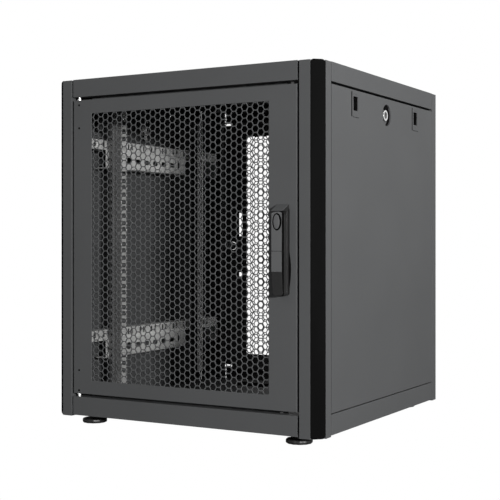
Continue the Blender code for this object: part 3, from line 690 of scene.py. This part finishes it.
def mounting_rails():
    """19-inch rails: a bright face with square holes, folded back to perforated flanges in the
    darker zinc, which paints the shade that falls on them.
    """
    low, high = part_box("mounting_rail_front_left")
    heights = rack_hole_heights(low.z, high.z)
    left, right = (LEFT + u for u in RAIL_FACE_U)
    half = HOLE_SIDE / 2
    vent_x = (left + RAIL_FOOT) / 2 + VENT_SHIFT
    for corner, flips in CORNERS.items():
        node_low, node_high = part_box(f"mounting_rail_{corner}")
        back = 2 * MID_Y - node_high.y if flips[1] else node_low.y
        face = back + WEB_DEPTH
        strip = rounded_rectangle((left + FACE_INSET, low.z), (right, high.z), 0.0010, 2)
        holes = [prism(around((LEFT + HOLE_U, z), (half, half), 0.0008, 2), "Y",
                       face - 0.001, face + 0.004) for z in heights]
        bm = cut(prism(strip, "Y", face, face + RAIL_SHEET), holes)
        piece(f"mounting_rail_{corner}_face", bm, "cabinet", "zinc_plate", flips, edge=0.0002,
              replaces=(f"mounting_rail_{corner}",))
        points = [(left, face + FACE_GAP), (left, back), (RAIL_FOOT, back),
                  (RAIL_FOOT, face + FOOT_REACH)]
        section = bent_sheet(points, RAIL_SHEET, -1, RAIL_BEND)
        vents = [prism(circle((vent_x, z), VENT_RADIUS, 16), "Y", back - 0.001, back + 0.004)
                 for z in heights]
        bm = cut(prism(section, "Z", low.z, high.z), vents)
        # The flanges fold from the same sheet as the face; their darker zinc is painted shade
        piece(f"mounting_rail_{corner}_flanges", bm, "cabinet", "dark_zinc", flips,
              replaces=(f"mounting_rail_{corner}",))


BOLT_RADIUS = 0.0050
BOLT_HEIGHT = 0.0052
WASHER_RADIUS = 0.0065
WASHER_HEIGHT = 0.0012
BOLT_BASE = LEFT + 0.0484
BOLT_Y = FRONT + 0.1340


def hex_bolt(centre, base):
    """Hexagon bolt head on a washer, facing inwards from the left."""
    seat = base + WASHER_HEIGHT
    return [turned([(WASHER_RADIUS, base), (WASHER_RADIUS, seat)], "X", centre, 20),
            prism(circle(centre, BOLT_RADIUS, 6), "X", seat, base + BOLT_HEIGHT)]


def rail_bolts():
    """Bolts that hold the mounting rails' feet on the supports."""
    for corner, flips in CORNERS.items():
        shapes = []
        for level in ("bottom", "top"):
            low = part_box(f"rail_support_{level}_left")[0]
            shapes += hex_bolt((BOLT_Y, low.z + SLOT_RISE), BOLT_BASE)
        piece(f"rail_bolts_{corner}", joined(shapes), "cabinet", "zinc_plate", flips, edge=0.0003)


# ---------------------------------------------------------------- swing handle

SPINDLE = (LEFT + 0.526, 0.404)
LEVER_LOW, LEVER_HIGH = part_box("front_handle_lever")
BASE_LOW, BASE_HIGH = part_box("front_handle_base")
TILT_AXIS = (FRONT - 0.0222, 0.4173)
NOSE_RADIUS = 0.0046
SHELL_TOP = 0.4110
FACE_PLATE = 0.0006
FACE_TOP = 0.4213
PLATE_BACK = LEVER_LOW.y + FACE_PLATE
SLOPE_Z = LEVER_LOW.z + 0.0430
GRIP_END = (FRONT - 0.0225 + FACE_PLATE, LEVER_LOW.z + 0.0006)
LEVER_SPLIT = FRONT - 0.0175
LEVER_CORNER = 0.0045
CROWN_REACH = 0.0181
SEAM_Z = 0.351
SEAM_HALF = 0.0005
ARM_HALF = 0.0068
COVER_Z = 0.4033
COVER_HALF = (0.0061, 0.0128)
COVER_CROWN = ((1.0, 0.0009), (1.0, 0.0004), (0.90, 0.0001), (0.75, 0.0))
RING_CENTRE = (SPINDLE[0] + 0.0005, COVER_Z)
RING_HALF = (0.0095, 0.0157)


def lever_outline(inset):
    """The lever seen from the front: a crowned top and rounded lower corners."""
    low, high = LEVER_LOW.x + inset, LEVER_HIGH.x - inset
    reach = CROWN_REACH - inset
    start = math.acos((high - SPINDLE[0]) / reach)
    finish = math.pi - math.acos((SPINDLE[0] - low) / reach)
    crown = arc(SPINDLE, reach, start, finish - start, 14)
    foot = LEVER_LOW.z + inset + LEVER_CORNER
    return (crown + arc((low + LEVER_CORNER, foot), LEVER_CORNER, math.pi, math.pi / 2, 5)
            + arc((high - LEVER_CORNER, foot), LEVER_CORNER, -math.pi / 2, math.pi / 2, 5))


def lever_seam(start, end):
    """Groove across the lever's front."""
    return box((LEVER_LOW.x - 0.001, start, SEAM_Z - SEAM_HALF),
               (LEVER_HIGH.x + 0.001, end, SEAM_Z + SEAM_HALF))


def lever_shell():
    """The lever's body, with a recess for the lock's ring and room for the spindle's arm."""
    front, back = LEVER_LOW.y, LEVER_HIGH.y
    nose = arc(TILT_AXIS, NOSE_RADIUS - FACE_PLATE, 0.0, math.pi, 6)
    profile = [(PLATE_BACK, SLOPE_Z), GRIP_END, (back, GRIP_END[1]), (back, SHELL_TOP)] + nose
    shell = prism(profile, "X", LEVER_LOW.x, LEVER_HIGH.x)
    shell = combined(shell, prism(lever_outline(0.0), "Y", front - 0.01, FRONT), "INTERSECT")
    ring = prism(oval(RING_CENTRE, RING_HALF), "Y", front - 0.002, front + 0.0022)
    x = SPINDLE[0]
    pocket = box((x - ARM_HALF, FRONT - 0.0238, 0.3860), (x + ARM_HALF, FRONT, 0.4196))
    gap = box((x - ARM_HALF, FRONT - 0.0210, 0.4190), (x + ARM_HALF, FRONT, 0.4225))
    shell = cut(shell, [ring, lever_seam(front - 0.001, front + 0.0014)])
    return cut(cut(shell, [pocket]), [gap])


def handle_lever():
    """Lever: a hollow shell with a grey face plate. The shell's near-black front half and dark back
    half are painted shade on the lever's sides, and the darker lower grip is painted shade on its
    downward slope.
    """
    front = LEVER_LOW.y
    shell = lever_shell()
    # Near-black front half and dark back half of the shell: painted shade on the lever's sides
    halves = {"front": (front - 0.01, LEVER_SPLIT, "trim_plastic"),
              "back": (LEVER_SPLIT + 0.0001, FRONT, "foot_plastic")}
    for half, (start, end, slot) in halves.items():
        room = box((LEVER_LOW.x - 0.01, start, 0.2), (LEVER_HIGH.x + 0.01, end, 0.5))
        piece(f"handle_lever_{half}", combined(shell.copy(), room, "INTERSECT"), "handle_lever",
              slot, edge=0.0004, replaces=("front_handle_lever",))
    shell.free()
    plates = {"face": ([(TILT_AXIS[0], FACE_TOP), (PLATE_BACK, FACE_TOP), (PLATE_BACK, SLOPE_Z)],
                       "handle_plastic"),
              # Darker grip plate: painted shade on the lever's downward-facing lower slope
              "grip": ([(PLATE_BACK, SLOPE_Z - 0.0003), GRIP_END], "foot_plastic")}
    for name, (path, slot) in plates.items():
        plate = prism(bent_sheet(path, FACE_PLATE, -1, 0.0040), "X", LEVER_LOW.x, LEVER_HIGH.x)
        outline = prism(lever_outline(0.0005), "Y", front - 0.01, FRONT)
        ring = prism(oval(RING_CENTRE, RING_HALF), "Y", front - 0.004, FRONT)
        plate = cut(combined(plate, outline, "INTERSECT"),
                    [ring, lever_seam(front - 0.003, front + 0.003)])
        piece(f"handle_lever_{name}", plate, "handle_lever", slot, edge=0.0002)


def lock_cover():
    """Domed oval cover in the lever's ring."""
    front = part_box("front_lock_cover")[0].y
    rings = []
    for share, depth in COVER_CROWN:
        half = (COVER_HALF[0] * share, COVER_HALF[1] * share)
        rings.append([(a, front + depth, b) for a, b in oval((SPINDLE[0], COVER_Z), half)])
    piece("handle_cover_oval", skinned(rings), "lock_cover", "handle_plastic", smooth=40,
          replaces=("front_lock_cover",))


HOUSING_FRONT = FRONT - 0.0080
RAMP_FOOT = (FRONT - 0.0262, 0.4225)
SHADOW_RIM_FRONT = FRONT - 0.0016
BULGE_Z = (0.2790, 0.3560)
BULGE_DEPTH = 0.0042
BULGE_STEPS = 12


def handle_base():
    """Housing on the door: near-black, with a grey ramp on top, and a thin black rim with a bulge
    beside the grip that paints the shadow along the housing's right edge.
    """
    low, high = BASE_LOW, BASE_HIGH
    profile = [(high.y, low.z), (HOUSING_FRONT, low.z), (HOUSING_FRONT, RAMP_FOOT[1]), RAMP_FOOT,
               (high.y, high.z)]
    housing = prism(profile, "X", low.x, high.x)
    outline = rounded_rectangle((low.x, low.z), (high.x, high.z + 0.02), 0.0060, 6)
    housing = combined(housing, prism(outline, "Y", FRONT - 0.05, FRONT + 0.01), "INTERSECT")
    bore = prism(circle(SPINDLE, 0.0066, 24), "Y", FRONT - 0.012, FRONT + 0.004)
    piece("handle_housing", cut(housing, [bore]), "front_door", "foot_plastic", edge=0.0005,
          replaces=("front_handle_base",))

    # Black rim showing beside the housing, with a bulge beside the grip: painted shadow on the door
    # along the housing's right edge
    outline = rounded_rectangle((low.x, low.z + 0.0010), (high.x + 0.0010, high.z - 0.0060),
                                0.0050, 6)
    bottom, top = BULGE_Z
    bulge = [(high.x - 0.004, bottom), (high.x - 0.004, top)]
    for i in range(BULGE_STEPS + 1):
        bulge.append((high.x + BULGE_DEPTH * math.sin(math.pi * i / BULGE_STEPS),
                      top - (top - bottom) * i / BULGE_STEPS))
    shadow_rim = united(prism(outline, "Y", SHADOW_RIM_FRONT, high.y),
                    [prism(bulge, "Y", SHADOW_RIM_FRONT, high.y)])
    inside = rounded_rectangle((low.x + 0.002, low.z + 0.003), (high.x - 0.0002, high.z), 0.0050, 6)
    shadow_rim = cut(shadow_rim, [prism(inside, "Y", FRONT - 0.01, FRONT + 0.01)])
    piece("handle_gasket", shadow_rim, "front_door", "trim_plastic")

    rise = (high.z - RAMP_FOOT[1]) / (high.y - RAMP_FOOT[0])
    ramp = [(RAMP_FOOT[0] - 0.0001, RAMP_FOOT[1] + 0.0002), (high.y, high.z + 0.0002),
            (high.y, high.z - 0.0006), (RAMP_FOOT[0] + 0.0012, RAMP_FOOT[1] + 0.0006 * rise)]
    piece("handle_ramp_face", prism(ramp, "X", low.x, high.x), "front_door", "powder_coat")


# ---------------------------------------------------------------- side panels

LATCH_V = (0.150, 0.456)
LATCH_Z = 0.6270
LATCH_FACE_HALF = (0.0122, 0.0172)
FINGER_HALF = (0.0105, 0.0135)
TONGUE_TOP = 0.6435
# Along y and along z from a latch's middle: gaps in the panel, and the near-black strips behind
# them, painted shade seen through the gaps
LATCH_GAPS = (((-0.0205, -0.0148), (-0.0255, 0.0220)), ((-0.0140, 0.0150), (-0.0262, -0.0250)))
GAP_SHADE_STRIPS = (((-0.0215, -0.0142), (-0.0265, 0.0230)), ((-0.0141, 0.0160), (-0.0272, -0.0230)))
DISH = (FRONT + 0.2998, 0.6194)


def finger_outline(y, inset):
    """Outline of a latch's finger pocket, drawn in by an inset."""
    return rounded_rectangle((y - FINGER_HALF[0] + inset, LATCH_Z - FINGER_HALF[1] + inset),
                             (y + FINGER_HALF[0] - inset, LATCH_Z + FINGER_HALF[1] - inset), 0.0015)


def side_latches():
    """Latches: a cover in the panel's window, and a slider whose finger pocket is lined near-black,
    painted shade in the recess.
    """
    for side, flips in SIDES.items():
        for end, v in zip(("front", "rear"), LATCH_V):
            y = FRONT + v
            name = f"panel_latch_{side}_{end}"
            body = box((LEFT + 0.0016, y - 0.0150, LATCH_Z - 0.0220),
                       (LEFT + 0.0120, y + 0.0150, LATCH_Z + 0.0200))
            tongue = box((LEFT + 0.0090, y - 0.0080, LATCH_Z + 0.0120),
                         (LEFT + 0.0195, y + 0.0080, TONGUE_TOP))
            face = around((y, LATCH_Z), LATCH_FACE_HALF, 0.0004)
            pocket = prism(finger_outline(y, 0.0), "X", LEFT - 0.002, LEFT + 0.0108)
            cover = cut(prism(face, "X", LEFT + 0.0001, LEFT + 0.0012), [pocket.copy()])
            piece(f"{name}_cover", cover, f"panel_{side}", "powder_coat", flips)
            piece(f"{name}_slider", cut(united(body, [tongue]), [pocket]), name, "powder_coat",
                  flips, edge=0.0004, replaces=(f"side_latch_{side}_{end}",))
            # Near-black lining inside the finger pocket: painted shade in the recess
            room = prism(finger_outline(y, 0.0006), "X", LEFT - 0.001, LEFT + 0.0100)
            pocket_shade_lining = prism(finger_outline(y, 0.0001), "X", LEFT + 0.0017, LEFT + 0.0107)
            piece(f"{name}_liner", cut(pocket_shade_lining, [room]), name, "trim_plastic", flips)


def latch_boxes(start, end, spans):
    """Boxes about both latches of the left panel, between two places across it."""
    return [box((start, FRONT + v + y_span[0], LATCH_Z + z_span[0]),
                (end, FRONT + v + y_span[1], LATCH_Z + z_span[1]))
            for v in LATCH_V for y_span, z_span in spans]


def side_panels():
    """Panels with the gaps that the latches' covers leave beside and below their pockets."""
    for side, flips in SIDES.items():
        bm = bmesh.new()
        bm.from_mesh(frame["nodes"][f"side_panel_{side}"].data)
        gaps = latch_boxes(LEFT - 0.001, LEFT + 0.0020, LATCH_GAPS)
        bm = cut(bm, [flipped(gap, flips) for gap in gaps])
        # Near-black strips just behind the gaps: painted shade
        shade_strips = latch_boxes(LEFT + 0.0013, LEFT + 0.0015, GAP_SHADE_STRIPS)
        piece(f"side_panel_{side}_backs", joined(shade_strips), f"panel_{side}", "trim_plastic", flips)
        # The panel comes from the frame in its own place, so it is flipped once more beforehand
        piece(f"side_panel_{side}_cut", flipped(bm, flips), f"panel_{side}", "powder_coat",
              flips, smooth=5, replaces=(f"side_panel_{side}",))
        # Near-black crescent on the dish's wall: painted shadow; the offset circle (shine) cuts
        # away the lit side
        shadow_crescent = prism(circle(DISH, 0.0213, 48), "X", LEFT + 0.0030, LEFT + 0.0049)
        hole = prism(circle(DISH, 0.0112, 40), "X", LEFT, LEFT + 0.01)
        shine = prism(circle((DISH[0] - 0.0040, DISH[1] - 0.0045), 0.0163, 40), "X",
                      LEFT, LEFT + 0.01)
        piece(f"side_panel_{side}_dish_shadow", cut(shadow_crescent, [united(hole, [shine])]), f"panel_{side}",
              "trim_plastic", flips)


LOCK_FRONT = LEFT + 0.0022
BRACKET_X = (LEFT + 0.0125, LEFT + 0.0145)


def side_locks():
    """Key locks: a chrome ring, a plug with a key slot, and the barrel, nut and cam behind."""
    for side, flips in SIDES.items():
        body, panel = f"panel_lock_{side}", f"panel_{side}"
        ring = prism(circle(DISH, 0.0108, 40), "X", LOCK_FRONT, LEFT + 0.0200)
        hollow = prism(circle(DISH, 0.0068, 32), "X", LEFT - 0.001, LOCK_FRONT + 0.0030)
        cam = rounded_rectangle((DISH[0] - 0.0070, DISH[1] - 0.0080),
                                (DISH[0] + 0.0070, TONGUE_TOP), 0.0035)
        barrel = united(cut(ring, [hollow]), [prism(cam, "X", LEFT + 0.0195, LEFT + 0.0215)])
        piece(f"side_lock_{side}_barrel", barrel, body, "chrome_plate", flips, edge=0.0004,
              replaces=(f"side_lock_{side}",))
        plug = prism(circle(DISH, 0.0064, 32), "X", LOCK_FRONT + 0.0008, LOCK_FRONT + 0.0040)
        key = box((LOCK_FRONT - 0.001, DISH[0] - 0.0009, DISH[1] - 0.0042),
                  (LOCK_FRONT + 0.0035, DISH[0] + 0.0009, DISH[1] + 0.0042))
        piece(f"side_lock_{side}_plug", cut(plug, [key]), body, "dark_zinc", flips, edge=0.0002)
        nut = prism(circle(DISH, 0.0155, 6), "X", LEFT + 0.0072, LEFT + 0.0112)
        bore = prism(circle(DISH, 0.0110, 32), "X", LEFT, LEFT + 0.02)
        piece(f"side_lock_{side}_nut", cut(nut, [bore]), panel, "zinc_plate", flips, edge=0.0003)
        bracket = box((BRACKET_X[0], DISH[0] - 0.0040, 0.5950),
                      (BRACKET_X[1], DISH[0] + 0.0040, 0.6450))
        plate = united(bracket, [prism(circle(DISH, 0.0150, 32), "X", *BRACKET_X)])
        bore = prism(circle(DISH, 0.0112, 32), "X", LEFT, LEFT + 0.03)
        piece(f"side_lock_{side}_plate", cut(plate, [bore]), panel, "zinc_plate", flips,
              edge=0.0003)


# ---------------------------------------------------------------- corners and feet

CHAMFER = 0.020
TRIM_WIDTH = CHAMFER * math.sqrt(2)
TRIM_CORNER = 0.0070
# Inset of the outline and depth behind the crown, from the back edge to the crown
TRIM_CROWN = ((0.0, 0.0024), (0.0, 0.0011), (0.0010, 0.0004), (0.0028, 0.0))


def corner_trims():
    """Crowned strips on the frame's chamfers, rounded at both ends."""
    low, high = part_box("corner_trim_front_left")
    for corner, flips in CORNERS.items():
        rings = []
        for inset, depth in TRIM_CROWN:
            outline = rounded_rectangle((inset, low.z + inset),
                                        (TRIM_WIDTH - inset, high.z - inset),
                                        TRIM_CORNER - inset, 8)
            rings.append([(a, depth, b) for a, b in outline])
        bm = skinned(rings)
        turn = Matrix.Rotation(-math.pi / 4, 4, "Z")
        bm.transform(Matrix.Translation((LEFT, FRONT + CHAMFER, 0.0)) @ turn)
        piece(f"corner_trim_{corner}_crowned", bm, "cabinet", "trim_plastic", flips, smooth=40,
              replaces=(f"corner_trim_{corner}",))


FOOT_CENTRE = (LEFT + 0.066, FRONT + 0.046)
# Radius and height, from the floor up
PAD_PROFILE = ((0.0232, 0.0), (0.0247, 0.0012), (0.0249, 0.0060), (0.0236, 0.0080),
               (0.0150, 0.0094))
PAD_SIDES = 96
LOBES = 12
LOBE_DEPTH = 0.035
NUT_RADIUS = 0.0098
NUT_Z = (0.0090, 0.0165)
STEM_RADIUS = 0.0050
STEM_BASE = 0.0160
THREAD_DEPTH = 0.0005
THREAD_STEP = 0.0005
THREAD_TURNS = 69


def lobed_ring(radius, height):
    """Ring of points about the foot's axis, with a shallow dip between lobes."""
    ring = []
    for i in range(PAD_SIDES):
        a = 2 * math.pi * i / PAD_SIDES
        reach = radius * (1.0 - LOBE_DEPTH * (0.5 - 0.5 * math.cos(LOBES * a)))
        ring.append((FOOT_CENTRE[0] + reach * math.cos(a), FOOT_CENTRE[1] + reach * math.sin(a),
                     height))
    return ring


def levelling_feet():
    """Feet: a lobed pad, a lock nut and a threaded stem."""
    for corner, flips in CORNERS.items():
        body = f"foot_{corner}"
        pad = skinned([lobed_ring(radius, height) for radius, height in PAD_PROFILE])
        nut = prism(circle(FOOT_CENTRE, NUT_RADIUS, 6), "Z", *NUT_Z)
        thread = [(STEM_RADIUS - THREAD_DEPTH * (i % 2), STEM_BASE + THREAD_STEP * i)
                  for i in range(THREAD_TURNS)]
        stem = turned(thread, "Z", FOOT_CENTRE, 24)
        piece(f"{body}_pad", pad, body, "foot_plastic", flips, smooth=50,
              replaces=(f"levelling_foot_{corner}",))
        piece(f"{body}_nut", joined([nut, stem]), body, "dark_zinc", flips, smooth=25)


HOLDER_DEPTH = 0.0200
HOLDER_HEIGHT = 0.0090
TUFTS = 190
TUFT_HALF = (0.00055, 0.0005)
TUFT_MARGIN = 0.004
TUFT_REACH = 0.0510


def roof_brush():
    """Brush that hangs across the roof's cable entry: a holder, and tufts with uneven ends."""
    low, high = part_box("roof_cable_brush")
    holder = box((low.x, high.y - HOLDER_DEPTH, high.z - HOLDER_HEIGHT), (high.x, high.y, high.z))
    piece("roof_brush_holder", holder, "cabinet", "trim_plastic", edge=0.0008,
          replaces=("roof_cable_brush",))
    tufts = []
    for i in range(TUFTS):
        x = low.x + TUFT_MARGIN + (high.x - low.x - 2 * TUFT_MARGIN) * (i + 0.5) / TUFTS
        z = high.z - 0.0045 + 0.0010 * math.sin(i * 1.7)
        lean = 0.012 * math.sin(i * 2.4)
        reach = TUFT_REACH + 0.0012 * math.sin(i * 5.1)
        tuft = box((-TUFT_HALF[0], -reach, -TUFT_HALF[1]), (TUFT_HALF[0], 0.0, TUFT_HALF[1]))
        root = (x, high.y - HOLDER_DEPTH + 0.0010, z)
        tuft.transform(Matrix.Translation(root) @ Matrix.Rotation(lean, 4, "Z"))
        tufts.append(tuft)
    piece("roof_brush_bristles", joined(tufts), "cabinet", "brush_fibre")


# ---------------------------------------------------------------- stage

def camera():
    data = bpy.data.cameras.new("camera")
    data.sensor_width = 36.0
    data.lens = 79.495
    data.shift_y = -0.02442
    data.clip_start = 0.05
    data.clip_end = 60.0
    obj = bpy.data.objects.new("camera", data)
    obj.location = (1.1574, -2.0382, 0.3748)
    obj.rotation_euler = (math.pi / 2, 0.0, math.radians(29.738))
    bpy.context.scene.collection.objects.link(obj)
    bpy.context.scene.camera = obj


def area_light(name, place, aim, size, power):
    data = bpy.data.lights.new(name, "AREA")
    data.shape = "RECTANGLE"
    data.size, data.size_y = size
    data.energy = power
    obj = bpy.data.objects.new(name, data)
    obj.location = place
    direction = Vector(aim) - Vector(place)
    obj.rotation_euler = direction.to_track_quat("-Z", "Y").to_euler()
    bpy.context.scene.collection.objects.link(obj)


def studio_floor():
    """Pale floor that shows white and sends little light back up."""
    floor = Nodes("floor")
    floor.link(floor.blend(floor.span(floor.noise(3.0, 3.0), 0.0, 1.0), (0.10, 0.10, 0.10),
                           (0.11, 0.11, 0.11)), floor.shader.inputs["Base Color"])
    floor.settings(Roughness=0.9, Specular_IOR_Level=0.1)
    pale = floor.add("ShaderNodeEmission")
    pale.inputs["Color"].default_value = (1.0, 1.0, 1.0, 1.0)
    pale.inputs["Strength"].default_value = 1.0
    mix = floor.add("ShaderNodeMixShader")
    rays = floor.add("ShaderNodeLightPath")
    floor.link(rays.outputs["Is Camera Ray"], mix.inputs["Fac"])
    floor.link(floor.shader.outputs["BSDF"], mix.inputs[1])
    floor.link(pale.outputs["Emission"], mix.inputs[2])
    floor.link(mix.outputs["Shader"], floor.tree.nodes["Material Output"].inputs["Surface"])
    bm = bmesh.new()
    bmesh.ops.create_circle(bm, cap_ends=True, radius=14.0, segments=96)
    mesh = bpy.data.meshes.new("floor")
    bm.to_mesh(mesh)
    bm.free()
    mesh.materials.append(floor.material)
    obj = bpy.data.objects.new("floor", mesh)
    bpy.context.scene.collection.objects.link(obj)


def studio_world():
    """White surroundings for the camera; a soft dome, brighter overhead, for everything else."""
    world = bpy.data.worlds.new("studio")
    world.use_nodes = True
    tree = world.node_tree
    background = tree.nodes["Background"]
    place = tree.nodes.new("ShaderNodeTexCoord")
    parts = tree.nodes.new("ShaderNodeSeparateXYZ")
    tree.links.new(place.outputs["Generated"], parts.inputs["Vector"])
    height = tree.nodes.new("ShaderNodeMapRange")
    height.inputs["From Min"].default_value = 0.0
    height.inputs["From Max"].default_value = 1.0
    height.inputs["To Min"].default_value = 0.14
    height.inputs["To Max"].default_value = 0.75
    tree.links.new(parts.outputs["Z"], height.inputs["Value"])
    rays = tree.nodes.new("ShaderNodeLightPath")
    choice = tree.nodes.new("ShaderNodeMix")
    choice.inputs["B"].default_value = 1.0
    mirrored = tree.nodes.new("ShaderNodeMix")
    mirrored.inputs["B"].default_value = 0.75
    tree.links.new(rays.outputs["Is Glossy Ray"], mirrored.inputs["Factor"])
    tree.links.new(height.outputs["Result"], mirrored.inputs["A"])
    tree.links.new(rays.outputs["Is Camera Ray"], choice.inputs["Factor"])
    tree.links.new(mirrored.outputs["Result"], choice.inputs["A"])
    tree.links.new(choice.outputs["Result"], background.inputs["Strength"])
    background.inputs["Color"].default_value = (1.0, 1.0, 1.0, 1.0)
    bpy.context.scene.world = world


def studio():
    studio_floor()
    studio_world()
    area_light("key", (3.18, -2.55, 0.85), (0.0, 0.0, 0.35), (0.46, 0.30), 305.0)
    area_light("side", (1.60, 0.40, 1.55), (0.0, 0.0, 0.45), (0.8, 0.8), 22.0)
    area_light("front", (-0.30, -2.40, 1.90), (0.0, 0.0, 0.35), (1.2, 1.2), 8.0)
    bpy.context.scene.view_settings.view_transform = "Standard"


dress_frame()
door_perforation()
door_fittings()
rail_supports()
mounting_rails()
rail_bolts()
handle_lever()
lock_cover()
handle_base()
side_latches()
side_panels()
side_locks()
corner_trims()
levelling_feet()
roof_brush()
studio()
camera()
